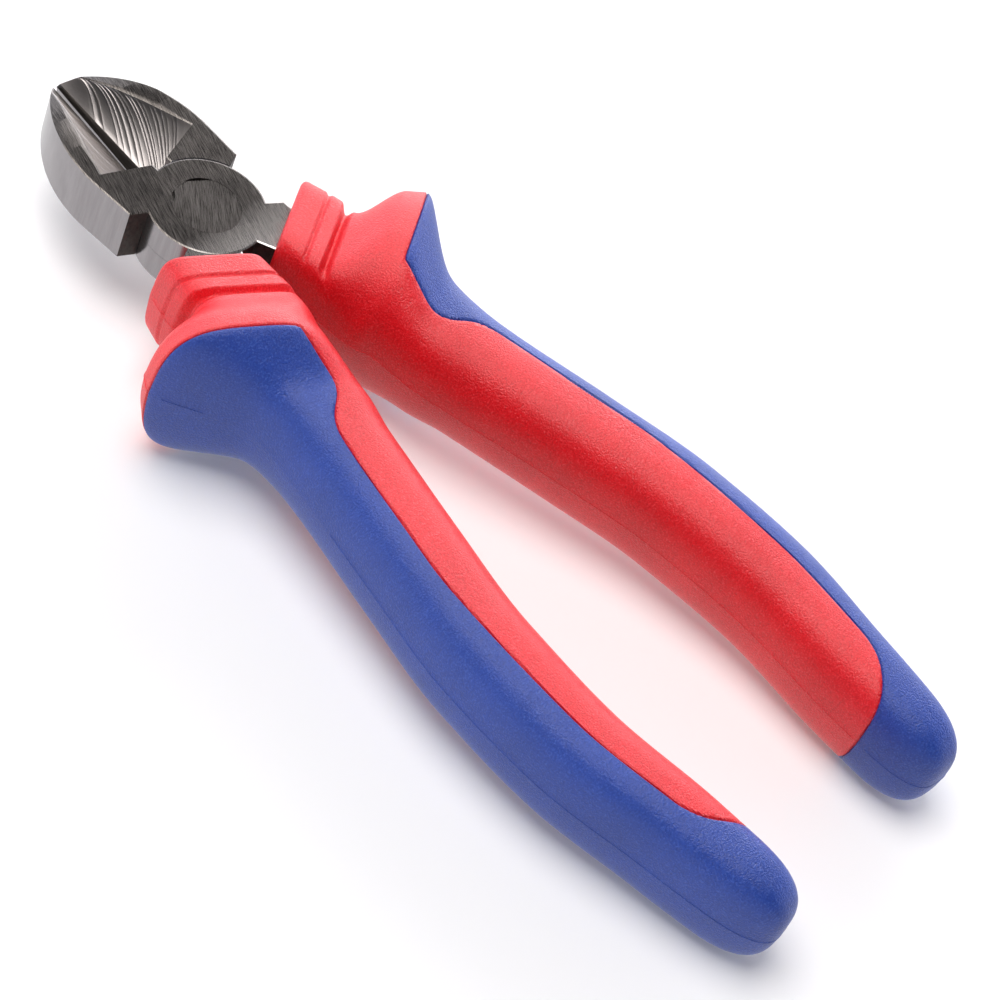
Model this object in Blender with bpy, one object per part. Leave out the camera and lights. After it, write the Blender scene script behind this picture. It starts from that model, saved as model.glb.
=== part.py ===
"""Diagonal cutter: two lap-jointed steel levers on a rivet, each in a two-part moulded grip.

The tool lies flat with its jaws towards +Y and its rivet upright.  Plan shapes are drawn round
the rivet, for the side with the jaw on the left and the handle on the right, and mirrored for
the other side.  The drawn pose has the jaws just open, which is the pose at rest.
"""

from collections import namedtuple
from math import acos, cos, pi, radians, sin, sqrt, tan

import bmesh
import bpy

MM = 0.001

# Head
JAW_LENGTH = 31.4 * MM             # rivet to the tips
HEAD_WIDTH = 22.4 * MM             # over both jaws
HEAD_THICKNESS = 9.2 * MM
JAW_SIDE_RADIUS = 21.7 * MM        # bow of a jaw's outer side
JAW_SIDE_LEAN = 0.35 * MM          # how far that side draws in towards its shoulder
JAW_SHOULDER_ANGLE = radians(24)   # shoulder face, ahead of square across
NOSE_LENGTH = 13.4 * MM            # over which a jaw's top curves down to its tip
NOSE_RADIUS = 34.0 * MM
REST_OPENING = radians(1.0)        # between the cutting edges
EDGE_CLEARANCE = 0.05 * MM         # left at each cutting edge with the jaws shut

# Lap joint and rivet
LAP_RADIUS = 9.0 * MM
LAP_CLEARANCE = 0.3 * MM           # round and between the lap discs
RIVET_HEAD_RADIUS = 5.05 * MM
RIVET_SHANK_RADIUS = 3.6 * MM
RIVET_RIM = 0.5 * MM               # straight rim of each countersunk head
RIVET_CONE = 1.5 * MM              # depth of the cone below that rim
RIVET_CLEARANCE = 0.2 * MM

# Cutting edges and the hollow above them
EDGE_TIP_HEIGHT = 0.3 * MM         # from the middle of the thickness
EDGE_ROOT_HEIGHT = -3.3 * MM
EDGE_FACET_WIDTH = 1.0 * MM
EDGE_FACET_RISE = 1.7 * MM
EDGE_RELIEF_ANGLE = radians(10)    # under the edge, so only the edges meet
HOLLOW_LAND = 2.1 * MM             # flat left outside the hollow at its rear corner
HOLLOW_TIP_WIDTH = 3.0 * MM        # from the middle to the hollow's top edge at the tip
HOLLOW_TIP_SETBACK = 2.6 * MM      # from the tip to the hollow's top edge
HOLLOW_OVERRUN = 1.25              # the grinding runs out past the tip
HOLLOW_ROOT = 0.5 * MM             # ahead of the lap disc, in the middle
HOLLOW_REAR = 3.6 * MM             # ahead of the lap disc, at the rear corner
HOLLOW_SAG = 0.45 * MM             # how deep the ground face is dished

# Necks and tangs
NECK_SHOULDER_ANGLE = radians(28)  # neck face, behind square across
NECK_SHOULDER = 2.8 * MM           # that face's width outside the lap disc
NECK_INNER_ANGLE = radians(80)     # where the neck's inner side leaves the lap disc
NECK_INSET = 1.8 * MM              # from the collar's inner side
NECK_WIDTH = 8.7 * MM
NECK_STOP = 0.3 * MM               # ahead of the collar
TANG_ROOT = 2.5 * MM               # how far the tang starts ahead of the collar, inside the neck
TANG_THICKNESS = 6.0 * MM
TANG_STEP = 0.4 * MM               # narrower than the neck, each side
TANG_INSET = 4.0 * MM              # from the grip's inner side
TANG_WIDTH = 7.0 * MM
TANG_END_WIDTH = 5.5 * MM
TANG_STOP = 34.0 * MM              # short of the grip's end
TANG_CLEARANCE = 0.3 * MM

# Grips: places are measured straight back from the rivet, widths across the handle
TAIL_REACH = 129.6 * MM
COLLAR_SETBACK = 2.3 * MM          # behind the lap disc
COLLAR_TILT = radians(29)          # handle's outward slant at the collar
COLLAR_GAP = 1.3 * MM              # from the middle to the collar's inner side
COLLAR_WIDTH = 15.6 * MM
COLLAR_HEIGHT = 16.0 * MM
COLLAR_CHAMFER = 0.8 * MM
RIB_LENGTH = 2.1 * MM
RIB_STEP = 0.1 * MM                # the rib stands this much below the collar
FRONT_GROOVE = 0.5 * MM            # depth
REAR_GROOVE = 0.9 * MM             # depth
GROOVE_LENGTH = 1.2 * MM
COLLAR_LENGTH = 4.3 * MM           # front face to the first groove
VALLEY_BEHIND = 9.4 * MM           # behind the collar's front
VALLEY_INNER = 2.0 * MM
VALLEY_WIDTH = 16.7 * MM
VALLEY_HEIGHT = 18.2 * MM
GUARD_BEHIND = 18.74 * MM          # behind the collar's front
GUARD_CREST = 2.4 * MM             # length of the crest ahead of the cover
GUARD_INNER = 3.3 * MM
GUARD_WIDTH = 27.7 * MM
GUARD_HEIGHT = 27.2 * MM
FLANK_BEHIND = 7.3 * MM            # behind the guard
FLANK_INNER = 4.9 * MM
FLANK_TILT = radians(26)
FLANK_WIDTH = 17.4 * MM
FLANK_HEIGHT = 18.6 * MM
WAIST_BEHIND = 14.0 * MM           # behind the guard
WAIST_INNER = 6.4 * MM
WAIST_TILT = radians(18)
WAIST_WIDTH = 15.8 * MM
WAIST_HEIGHT = 17.8 * MM
FORE_INNER = 10.6 * MM             # midway from the waist to the palm
FORE_TILT = radians(10)
FORE_WIDTH = 14.8 * MM
FORE_HEIGHT = 17.3 * MM
PALM_INNER = 14.0 * MM             # midway from the waist to the heel
PALM_TILT = radians(6)
PALM_WIDTH = 14.6 * MM
PALM_HEIGHT = 17.4 * MM
REAR_INNER = 15.0 * MM             # midway from the palm to the heel
REAR_TILT = radians(3)
REAR_WIDTH = 14.0 * MM
REAR_HEIGHT = 17.0 * MM
HEEL_AHEAD = 18.0 * MM             # ahead of the grip's end
HEEL_INNER = 13.8 * MM
HEEL_TILT = radians(-1.5)
HEEL_WIDTH = 12.6 * MM
HEEL_HEIGHT = 17.2 * MM
TAIL_INNER = 13.4 * MM
TAIL_TILT = radians(-7)
TAIL_WIDTH = 9.9 * MM
TAIL_HEIGHT = 16.9 * MM
TAIL_ROUNDING = 11.0 * MM          # length over which the end closes
TAIL_BLUNTNESS = 2.8               # power of the closing curve along the handle
TAIL_FULLNESS = 3.1                # power of the closing curve across it
GRIP_SQUARENESS = 3.0              # power of the section's rounded square

# Soft covers let into the grips
COVER_WALL = 2.2 * MM
COVER_GAP = 0.3 * MM
SEAM_GUARD = 8.9 * MM              # seam's distance from the grip's inner side at the guard
SEAM_FLANK = 5.9 * MM
SEAM_WAIST = 9.9 * MM
SEAM_WAIST_BEHIND = 12.4 * MM      # where the seam turns along the handle, behind the guard
SEAM_HEEL = 8.2 * MM
SEAM_CORNER = 5.8 * MM             # halfway round the rear corner of the hard stripe
SEAM_END_AHEAD = 11.2 * MM         # where the seam crosses the inner side, ahead of the end

# Facets
RING_SIDES = 24
JAW_STEPS = 12
LAP_STEPS = 10
HOLLOW_STEPS = 7
RIVET_SIDES = 36
MARGIN = 12.0 * MM                 # how far a cutting shape reaches past what it cuts

Station = namedtuple("Station", "back inner tilt width height")

PIVOT_Y = (TAIL_REACH - JAW_LENGTH) / 2
PIVOT_Z = GUARD_HEIGHT / 2
HALF_THICKNESS = HEAD_THICKNESS / 2
HALF_WIDTH = HEAD_WIDTH / 2
REST_SLOPE = tan(REST_OPENING / 2)

GRIP_FRONT = (LAP_RADIUS + COLLAR_SETBACK - COLLAR_GAP * sin(COLLAR_TILT)) / cos(COLLAR_TILT)
GUARD_BACK = GRIP_FRONT + GUARD_BEHIND
WAIST_BACK = GUARD_BACK + WAIST_BEHIND
HEEL_BACK = TAIL_REACH - HEEL_AHEAD
PALM_BACK = (WAIST_BACK + HEEL_BACK) / 2

STATIONS = (
    Station(GRIP_FRONT, COLLAR_GAP, COLLAR_TILT, COLLAR_WIDTH, COLLAR_HEIGHT),
    Station(GRIP_FRONT + VALLEY_BEHIND, VALLEY_INNER, COLLAR_TILT, VALLEY_WIDTH, VALLEY_HEIGHT),
    Station(GUARD_BACK, GUARD_INNER, COLLAR_TILT, GUARD_WIDTH, GUARD_HEIGHT),
    Station(GUARD_BACK + FLANK_BEHIND, FLANK_INNER, FLANK_TILT, FLANK_WIDTH, FLANK_HEIGHT),
    Station(WAIST_BACK, WAIST_INNER, WAIST_TILT, WAIST_WIDTH, WAIST_HEIGHT),
    Station((WAIST_BACK + PALM_BACK) / 2, FORE_INNER, FORE_TILT, FORE_WIDTH, FORE_HEIGHT),
    Station(PALM_BACK, PALM_INNER, PALM_TILT, PALM_WIDTH, PALM_HEIGHT),
    Station((PALM_BACK + HEEL_BACK) / 2, REAR_INNER, REAR_TILT, REAR_WIDTH, REAR_HEIGHT),
    Station(HEEL_BACK, HEEL_INNER, HEEL_TILT, HEEL_WIDTH, HEEL_HEIGHT),
    Station(TAIL_REACH, TAIL_INNER, TAIL_TILT, TAIL_WIDTH, TAIL_HEIGHT),
)


def material(name, colour, metallic, roughness):
    """A plain surface in linear colour."""
    surface = bpy.data.materials.new(name)
    surface.use_nodes = True
    shader = surface.node_tree.nodes["Principled BSDF"]
    shader.inputs["Base Color"].default_value = (*colour, 1.0)
    shader.inputs["Metallic"].default_value = metallic
    shader.inputs["Roughness"].default_value = roughness
    return surface


def add_object(name, shape):
    """An object at the rivet's centre from a closed bmesh, with its faces turned out."""
    bmesh.ops.recalc_face_normals(shape, faces=shape.faces)
    mesh = bpy.data.meshes.new(name)
    shape.to_mesh(mesh)
    shape.free()
    solid = bpy.data.objects.new(name, mesh)
    solid.location = (0.0, PIVOT_Y, PIVOT_Z)
    bpy.context.collection.objects.link(solid)
    return solid


def loft(name, rings):
    """A closed solid through rings of points, with a flat face at each end."""
    shape = bmesh.new()
    loops = [[shape.verts.new(point) for point in ring] for ring in rings]
    for first, second in zip(loops, loops[1:]):
        for i, here in enumerate(first):
            following = (i + 1) % len(first)
            shape.faces.new((here, first[following], second[following], second[i]))
    shape.faces.new(loops[0])
    shape.faces.new(loops[-1])
    return add_object(name, shape)


def prism(name, outline, low, high):
    """A plan outline given height."""
    return loft(name, [[(x, y, z) for x, y in outline] for z in (low, high)])


def cutter(solid):
    """Marks a solid as one that only shapes others."""
    solid.hide_render = True
    solid.display_type = "WIRE"
    return solid


def combine(solid, other, operation):
    """Cuts, joins or keeps the common part of two solids."""
    step = solid.modifiers.new(other.name, "BOOLEAN")
    step.operation = operation
    step.solver = "EXACT"
    step.object = other


def arc(centre, radius, start, end, steps):
    """Plan points along an arc, both ends included."""
    turn = (end - start) / steps
    return [(centre[0] + radius * cos(start + turn * i), centre[1] + radius * sin(start + turn * i))
            for i in range(steps + 1)]


def mirrored(points, side):
    """Points as they lie on one side: 1 keeps them, -1 swaps left and right."""
    return [(side * point[0], *point[1:]) for point in points]


def smooth(back, field):
    """A station field on a curve through all stations, flat where its neighbours turn it round."""
    places = [station.back for station in STATIONS]
    values = [getattr(station, field) for station in STATIONS]
    slopes = [(values[i + 1] - values[i]) / (places[i + 1] - places[i]) for i in range(len(places) - 1)]
    tangents = [slopes[0]]
    for before, after in zip(slopes, slopes[1:]):
        tangents.append(2 * before * after / (before + after) if before * after > 0 else 0.0)
    tangents.append(slopes[-1])
    i = min(max(sum(back >= place for place in places) - 1, 0), len(slopes) - 1)
    span = places[i + 1] - places[i]
    t = (back - places[i]) / span
    return (values[i] * (1 + 2 * t) * (1 - t) ** 2 + values[i + 1] * t * t * (3 - 2 * t)
            + span * (tangents[i] * t * (1 - t) ** 2 - tangents[i + 1] * t * t * (1 - t)))


def grip_point(back, across):
    """Plan point in a grip's slanted section, measured across from its inner side."""
    tilt = smooth(back, "tilt")
    return smooth(back, "inner") + across * cos(tilt), across * sin(tilt) - back


def collar_point(across, deep):
    """Plan point in the collar, across from its inner side and deep from its front."""
    x, y = grip_point(GRIP_FRONT, across)
    return x + deep * sin(COLLAR_TILT), y - deep * cos(COLLAR_TILT)


def grip_ring(back, inset=0.0, share=1.0):
    """A rounded-square ring round the grip, drawn in by an inset or shrunk to a share."""
    width = smooth(back, "width")
    half_width = share * (width / 2 - inset)
    half_height = share * (smooth(back, "height") / 2 - inset)
    power = 2 / GRIP_SQUARENESS
    ring = []
    for i in range(RING_SIDES):
        turn = 2 * pi * (i + 0.5) / RING_SIDES
        across, up = cos(turn), sin(turn)
        x, y = grip_point(back, width / 2 + half_width * abs(across) ** power * (1 if across > 0 else -1))
        ring.append((x, y, half_height * abs(up) ** power * (1 if up > 0 else -1)))
    return ring


def tail_rings(inset):
    """Rings that close the grip's end in a blunt dome."""
    start = TAIL_REACH - TAIL_ROUNDING
    length = TAIL_ROUNDING - inset - TAIL_WIDTH / 2 * sin(-TAIL_TILT)
    rings = []
    for part in (0.0, 0.35, 0.6, 0.8, 0.92, 0.985):
        share = (1 - part ** TAIL_BLUNTNESS) ** (1 / TAIL_FULLNESS)
        rings.append(grip_ring(start + part * length, inset, share))
    return rings


def grip_outside(side):
    """The whole grip's outside: ribbed collar, valley, guard, waist, palm and tail."""
    groove_1 = COLLAR_LENGTH
    rib = groove_1 + GROOVE_LENGTH
    groove_2 = rib + RIB_LENGTH
    after = groove_2 + GROOVE_LENGTH
    collar = ((0.0, COLLAR_CHAMFER), (COLLAR_CHAMFER, 0.0), (groove_1, 0.0),
              (groove_1 + GROOVE_LENGTH / 2, FRONT_GROOVE), (rib, RIB_STEP), (groove_2, RIB_STEP),
              (groove_2 + GROOVE_LENGTH / 2, REAR_GROOVE), (after, REAR_GROOVE / 2))
    rings = [grip_ring(GRIP_FRONT + behind, inset) for behind, inset in collar]
    crest = GUARD_BACK - GUARD_CREST
    valley = GRIP_FRONT + VALLEY_BEHIND
    rings += [grip_ring(back) for back in (valley, (valley + crest) / 2, crest)]
    steps = 5
    rings += [grip_ring(GUARD_BACK + WAIST_BEHIND * i / steps) for i in range(steps)]
    steps = 10
    straight = TAIL_REACH - TAIL_ROUNDING - WAIST_BACK
    rings += [grip_ring(WAIST_BACK + straight * i / steps) for i in range(steps)]
    rings += tail_rings(0.0)
    return [mirrored(ring, side) for ring in rings]


def grip_core(name, side, inset):
    """What lies inside the soft cover, as one shape that reaches past the cover's front."""
    start = GRIP_FRONT + VALLEY_BEHIND
    straight = TAIL_REACH - TAIL_ROUNDING - start
    steps = 14
    rings = [grip_ring(start + straight * i / steps, inset) for i in range(steps)]
    rings += tail_rings(inset)
    return cutter(loft(name, [mirrored(ring, side) for ring in rings]))


def cover_region(name, side, gap):
    """Upright walls along the seam, round everything that the soft cover takes."""
    end = TAIL_REACH - SEAM_END_AHEAD
    guard = GUARD_BACK + 2 * COVER_GAP - gap
    seam = [grip_point(guard, GUARD_WIDTH + MARGIN), grip_point(guard, SEAM_GUARD - gap)]
    seam.append(grip_point(GUARD_BACK + FLANK_BEHIND, SEAM_FLANK - gap))
    steps = 9
    start = GUARD_BACK + SEAM_WAIST_BEHIND
    for i in range(steps + 1):
        part = i / steps
        back = start + (HEEL_BACK - start) * part
        seam.append(grip_point(back, SEAM_WAIST + (SEAM_HEEL - SEAM_WAIST) * part - gap))
    seam.append(grip_point((HEEL_BACK + end) / 2 - gap / 2, SEAM_CORNER - gap))
    seam.append(grip_point(end - gap, 0.0))
    seam.append(grip_point(end - gap, -MARGIN))
    far = max(x for x, _ in seam) + MARGIN
    seam.append((seam[-1][0], -TAIL_REACH - MARGIN))
    seam.append((far, -TAIL_REACH - MARGIN))
    seam.append((far, seam[0][1]))
    return cutter(prism(name, mirrored(seam, side), -GUARD_HEIGHT, GUARD_HEIGHT))


def tang_outline(clearance):
    """The tang from inside the neck to its end in the grip, with room round it."""
    edge = TANG_STEP - clearance
    inner = [collar_point(NECK_INSET + edge, -TANG_ROOT)]
    outer = [collar_point(NECK_INSET + NECK_WIDTH - edge, -TANG_ROOT)]
    end = TAIL_REACH - TANG_STOP
    steps = 6
    for i in range(steps + 1):
        back = GUARD_BACK + (end + clearance - GUARD_BACK) * i / steps
        width = TANG_WIDTH + (TANG_END_WIDTH - TANG_WIDTH) * i / steps
        inner.append(grip_point(back, TANG_INSET - clearance))
        outer.append(grip_point(back, TANG_INSET + width + clearance))
    return inner + outer[::-1]


def lever_outline():
    """A whole lever from above: jaw on the left, lap disc, neck on the right."""
    bow = JAW_SIDE_RADIUS - HALF_WIDTH
    bow_y = JAW_LENGTH - sqrt(JAW_SIDE_RADIUS ** 2 - bow ** 2)
    root_y = LAP_RADIUS + HOLLOW_ROOT
    inner_wall = 2 * EDGE_CLEARANCE + root_y * REST_SLOPE
    past_middle = HOLLOW_ROOT
    tip_angle = acos((past_middle - bow) / JAW_SIDE_RADIUS)
    corner = HALF_WIDTH - JAW_SIDE_LEAN
    outline = arc((bow, bow_y), JAW_SIDE_RADIUS, tip_angle, pi, JAW_STEPS)
    outline.append((-corner, corner * tan(JAW_SHOULDER_ANGLE)))
    outline += arc((0, 0), LAP_RADIUS, pi - JAW_SHOULDER_ANGLE, 2 * pi - NECK_INNER_ANGLE, LAP_STEPS)
    outer = NECK_INSET + NECK_WIDTH
    outline += [collar_point(NECK_INSET, -NECK_STOP), collar_point(outer, -NECK_STOP)]
    reach = LAP_RADIUS + NECK_SHOULDER
    outline.append((reach * cos(NECK_SHOULDER_ANGLE), -reach * sin(NECK_SHOULDER_ANGLE)))
    outline += arc((0, 0), LAP_RADIUS, -NECK_SHOULDER_ANGLE, acos(-inner_wall / LAP_RADIUS), LAP_STEPS)
    outline += [(-inner_wall, root_y), (past_middle, root_y + inner_wall + past_middle)]
    return outline


def jaw_sections(steps):
    """Places along a jaw from its root out past the tip: edge point and hollow's rim point."""
    root_y = LAP_RADIUS + HOLLOW_ROOT
    rear_y = LAP_RADIUS + HOLLOW_REAR
    rear_x = HALF_WIDTH - HOLLOW_LAND
    rim_tip_y = JAW_LENGTH - HOLLOW_TIP_SETBACK
    sections = []
    for i in range(steps + 1):
        part = HOLLOW_OVERRUN * i / steps
        y = root_y + (JAW_LENGTH - root_y) * part
        edge = (EDGE_CLEARANCE + y * REST_SLOPE, y, EDGE_ROOT_HEIGHT
                + (EDGE_TIP_HEIGHT - EDGE_ROOT_HEIGHT) * part)
        rim_y = rear_y + (rim_tip_y - rear_y) * part
        rim = (rear_x + (HOLLOW_TIP_WIDTH - rear_x) * part, rim_y, nose_height(rim_y))
        sections.append((edge, rim))
    return sections


def nose_height(y):
    """Height of a jaw's top, which curves down towards the tip."""
    past = max(y - JAW_LENGTH + NOSE_LENGTH, 0.0)
    return HALF_THICKNESS - NOSE_RADIUS + sqrt(NOSE_RADIUS ** 2 - past ** 2)


def nose(name):
    """Everything above the curved tops of both jaws."""
    start = JAW_LENGTH - NOSE_LENGTH
    steps = 6
    span = NOSE_LENGTH + HOLLOW_TIP_SETBACK
    profile = [(start + span * i / steps, nose_height(start + span * i / steps)) for i in range(steps + 1)]
    profile += [(start + span, HALF_THICKNESS + MARGIN), (start - MARGIN, HALF_THICKNESS + MARGIN)]
    return cutter(loft(name, [[(x, y, z) for y, z in profile] for x in (-HEAD_WIDTH, HEAD_WIDTH)]))


def open_side(name, side):
    """Everything past a jaw's cutting edge, with the relief under that edge."""
    top = HALF_THICKNESS + MARGIN
    rings = []
    lean = tan(EDGE_RELIEF_ANGLE)
    for (x, y, z), _ in jaw_sections(1):
        ring = [(x - (top - z) * lean, y, top), (-MARGIN, y, top),
                (-MARGIN, y, -top), (x + (top + z) * lean, y, -top)]
        rings.append(mirrored(ring, -side))
    return cutter(loft(name, rings))


def hollow(name, side):
    """The dished face ground into a jaw's top, down to the facet beside its edge."""
    top = HALF_THICKNESS + MARGIN
    past = -1.0
    rings = []
    for (x, y, z), (rim_x, rim_y, rim_z) in jaw_sections(HOLLOW_STEPS):
        low_x, low_z = x + EDGE_FACET_WIDTH, z + EDGE_FACET_RISE
        past_x = x + past * EDGE_FACET_WIDTH
        face = [(past_x, z + past * EDGE_FACET_RISE)]
        for j in range(HOLLOW_STEPS + 1):
            along = j / HOLLOW_STEPS
            sag = 4 * HOLLOW_SAG * along * (1 - along)
            face.append((low_x + (rim_x - low_x) * along + sag / 2,
                         low_z + (rim_z - low_z) * along - sag))
        slope = (rim_y - y) / (rim_x - x)
        face += [(rim_x, top), (past_x, top)]
        ring = [(at_x, y + slope * (at_x - x), at_z) for at_x, at_z in face]
        rings.append(mirrored(ring, -side))
    return cutter(loft(name, rings))


def turned(name, profile, sides):
    """A solid of revolution from (radius, height) points, listed from bottom to top."""
    rings = [arc((0, 0), radius, 0, 2 * pi * (1 - 1 / sides), sides - 1) for radius, _ in profile]
    return loft(name, [[(x, y, z) for x, y in ring] for ring, (_, z) in zip(rings, profile)])


def rivet_profile(clearance, reach):
    """Half of the rivet: two countersunk heads on a shank, with room round it."""
    head = RIVET_HEAD_RADIUS + clearance
    shank = RIVET_SHANK_RADIUS + clearance
    rim = HALF_THICKNESS - RIVET_RIM
    cone = rim - RIVET_CONE
    return [(head, -HALF_THICKNESS - reach), (head, -rim), (shank, -cone),
            (shank, cone), (head, rim), (head, HALF_THICKNESS + reach)]


def lever(name, side, surface, bore, top_curve):
    """One forged lever; side 1 has its lap disc on top and its handle on the right."""
    body = prism(name, mirrored(lever_outline(), side), -HALF_THICKNESS, HALF_THICKNESS)
    tang = prism(name + "_tang_shape", mirrored(tang_outline(0.0), side),
                 -TANG_THICKNESS / 2, TANG_THICKNESS / 2)
    recess_radius = LAP_RADIUS + LAP_CLEARANCE
    recess_ends = sorted((side * LAP_CLEARANCE / 2, -side * (HALF_THICKNESS + MARGIN)))
    recess = turned(name + "_lap_recess", [(recess_radius, z) for z in recess_ends], 4 * LAP_STEPS)
    combine(body, cutter(tang), "UNION")
    combine(body, cutter(recess), "DIFFERENCE")
    combine(body, top_curve, "DIFFERENCE")
    combine(body, open_side(name + "_open_side", side), "DIFFERENCE")
    combine(body, hollow(name + "_hollow", side), "DIFFERENCE")
    combine(body, bore, "DIFFERENCE")
    body.data.materials.append(surface)
    return body


def grip(word, side, hard, soft):
    """The hard grip body and the soft cover that is let into its outer side."""
    body = loft("grip_body_" + word, grip_outside(side))
    pocket = cover_region("cover_pocket_" + word, side, COVER_GAP)
    combine(pocket, grip_core("cover_seat_" + word, side, COVER_WALL + COVER_GAP), "DIFFERENCE")
    tang = prism("tang_room_" + word, mirrored(tang_outline(TANG_CLEARANCE), side),
                 -TANG_THICKNESS / 2 - TANG_CLEARANCE, TANG_THICKNESS / 2 + TANG_CLEARANCE)
    for room in (pocket, cutter(tang)):
        combine(body, room, "DIFFERENCE")
    body.data.materials.append(hard)

    cover = loft("grip_cover_" + word, grip_outside(side))
    combine(cover, cover_region("cover_shape_" + word, side, 0.0), "INTERSECT")
    combine(cover, grip_core("cover_inside_" + word, side, COVER_WALL), "DIFFERENCE")
    cover.data.materials.append(soft)
    return body, cover


def build():
    """Every piece, hung on an empty for the side of the tool that it moves with."""
    for leftover in list(bpy.data.objects):
        bpy.data.objects.remove(leftover, do_unlink=True)

    steel = material("ground_steel", (0.30, 0.29, 0.28), 1.0, 0.38)
    rivet_steel = material("rivet_steel", (0.33, 0.32, 0.31), 1.0, 0.42)
    hard = material("red_moulding", (0.72, 0.03, 0.04), 0.0, 0.45)
    soft = material("blue_soft_moulding", (0.04, 0.08, 0.36), 0.0, 0.55)

    bore = cutter(turned("rivet_bore", rivet_profile(RIVET_CLEARANCE, MARGIN), RIVET_SIDES))
    rivet = turned("pivot_rivet", rivet_profile(0.0, 0.0), RIVET_SIDES)
    rivet.data.materials.append(rivet_steel)

    top_curve = nose("nose_curve")
    upper = [lever("lever_upper", 1, steel, bore, top_curve), *grip("right", 1, hard, soft)]
    lower = [lever("lever_lower", -1, steel, bore, top_curve), *grip("left", -1, hard, soft), rivet]
    for word, pieces in (("upper_side", upper), ("lower_side", lower)):
        axis = bpy.data.objects.new(word, None)
        axis.location = (0.0, PIVOT_Y, PIVOT_Z)
        bpy.context.collection.objects.link(axis)
        for piece in pieces:
            piece.location = (0.0, 0.0, 0.0)
            piece.parent = axis


build()
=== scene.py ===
from math import acos, cos, pi, radians, sin, sqrt, tan

import bmesh
import bpy
import numpy as np
from mathutils import Matrix, Vector


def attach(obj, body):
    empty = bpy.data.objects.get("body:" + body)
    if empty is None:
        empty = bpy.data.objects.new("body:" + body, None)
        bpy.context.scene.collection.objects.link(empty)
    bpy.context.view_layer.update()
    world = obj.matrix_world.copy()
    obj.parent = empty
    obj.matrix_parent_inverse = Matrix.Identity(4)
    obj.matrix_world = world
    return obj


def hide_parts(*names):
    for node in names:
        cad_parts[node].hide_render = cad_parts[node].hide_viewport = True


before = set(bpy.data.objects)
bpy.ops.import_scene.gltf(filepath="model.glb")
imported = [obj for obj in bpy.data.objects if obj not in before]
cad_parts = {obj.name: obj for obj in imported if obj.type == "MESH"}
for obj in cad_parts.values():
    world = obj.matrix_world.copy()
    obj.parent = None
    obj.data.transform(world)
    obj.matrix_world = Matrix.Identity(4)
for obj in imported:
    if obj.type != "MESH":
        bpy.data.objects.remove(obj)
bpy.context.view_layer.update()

# Sizes are in millimetres round the rivet, as drawn for the right handle and the left jaw
MM = 0.001
PIVOT = np.array([0.0, 49.1, 13.6])
JAW_LENGTH = 31.4
HEAD_HALF_WIDTH = 11.2
HALF_THICKNESS = 4.6
JAW_SIDE_RADIUS = 21.7
JAW_SIDE_LEAN = 0.35
JAW_SHOULDER_ANGLE = radians(24)
NOSE_LENGTH = 13.4
NOSE_RADIUS = 34.0
REST_SLOPE = tan(radians(0.5))
EDGE_CLEARANCE = 0.05
LAP_RADIUS = 9.0
LAP_GAP = 0.05
LAP_FACE_GAP = 0.04
ROOT_NOTCH = 1.35
NECK_SHOULDER_ANGLE = radians(28)
NECK_INNER_ANGLE = radians(80)
NECK_SHOULDER = 2.8
NECK_INSET = 1.8
NECK_WIDTH = 8.7
NECK_DEPTH = 4.0
STEEL_BEVEL = 0.25
BEVEL_ANGLE = radians(19)
RIVET_RADIUS = 5.05
RIVET_GAP = 0.012
RIVET_RIM_HEIGHT = HALF_THICKNESS - 0.5
RIVET_SHANK_RADIUS = 3.6
RIVET_SHANK_HEIGHT = RIVET_RIM_HEIGHT - 1.5
RIVET_SHANK_GAP = 0.1
RIVET_SIDES = 128
RIVET_FLASHES = ((radians(36), radians(86)), (radians(114), radians(143)))
FLASH_REACH = 0.2
FLASH_BITE = 0.1
FLASH_DEPTH = 0.35
STEEL_SHARP_ANGLE = radians(14)

EDGE_TIP_HEIGHT = 0.3
EDGE_ROOT_HEIGHT = -3.3
EDGE_FACET_WIDTH = 1.0
EDGE_FACET_RISE = 1.7
EDGE_FACET_TAPER = 0.66
EDGE_RELIEF_ANGLE = radians(10)
HOLLOW_REAR_X = 9.1
HOLLOW_REAR_Y = 12.6
HOLLOW_ROOT_Y = 9.5
HOLLOW_TIP_X = 3.0
HOLLOW_TIP_Y = 28.8
HOLLOW_OVERRUN = 1.25
HOLLOW_SAG = 0.03
RIM_SLANT = (HOLLOW_REAR_X - HOLLOW_TIP_X) / (HOLLOW_TIP_Y - HOLLOW_REAR_Y)
RIM_BEVEL = 0.3
RIM_ROLL = 1.5
RIM_FALL = 0.1
RIM_SINK = 0.06
RIM_RISE = 0.039

GRIP_FRONT = 12.2
GRIP_LENGTH = 129.6
COLLAR_TILT = radians(29)
COLLAR_INNER = 1.3
FRONT_ROUNDING = 1.0
GUARD = 30.94
TAIL_ROUNDING = 11.0
GRIP_COLUMNS = 152
GRIP_WALL = 1.4
BEAD_RADIUS = 0.06
MARGIN = 12.0


def linear(code):
    """sRGB hex colour as linear red, green, blue and full alpha."""
    channels = [int(code[i:i + 2], 16) / 255 for i in (1, 3, 5)]
    return (*[c / 12.92 if c <= 0.04045 else ((c + 0.055) / 1.055) ** 2.4 for c in channels], 1.0)


def add_node(tree, kind, inputs=None, **settings):
    """Adds a node, sets its properties, and sets or links its inputs by name or number."""
    made = tree.nodes.new(kind)
    for name, value in settings.items():
        setattr(made, name, value)
    for name, value in (inputs or {}).items():
        if isinstance(value, bpy.types.NodeSocket):
            tree.links.new(value, made.inputs[name])
        else:
            made.inputs[name].default_value = value
    return made


def worked(tree, operation, *values):
    """One step of arithmetic in a node tree."""
    return add_node(tree, "ShaderNodeMath", dict(enumerate(values)), operation=operation).outputs[0]


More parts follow.
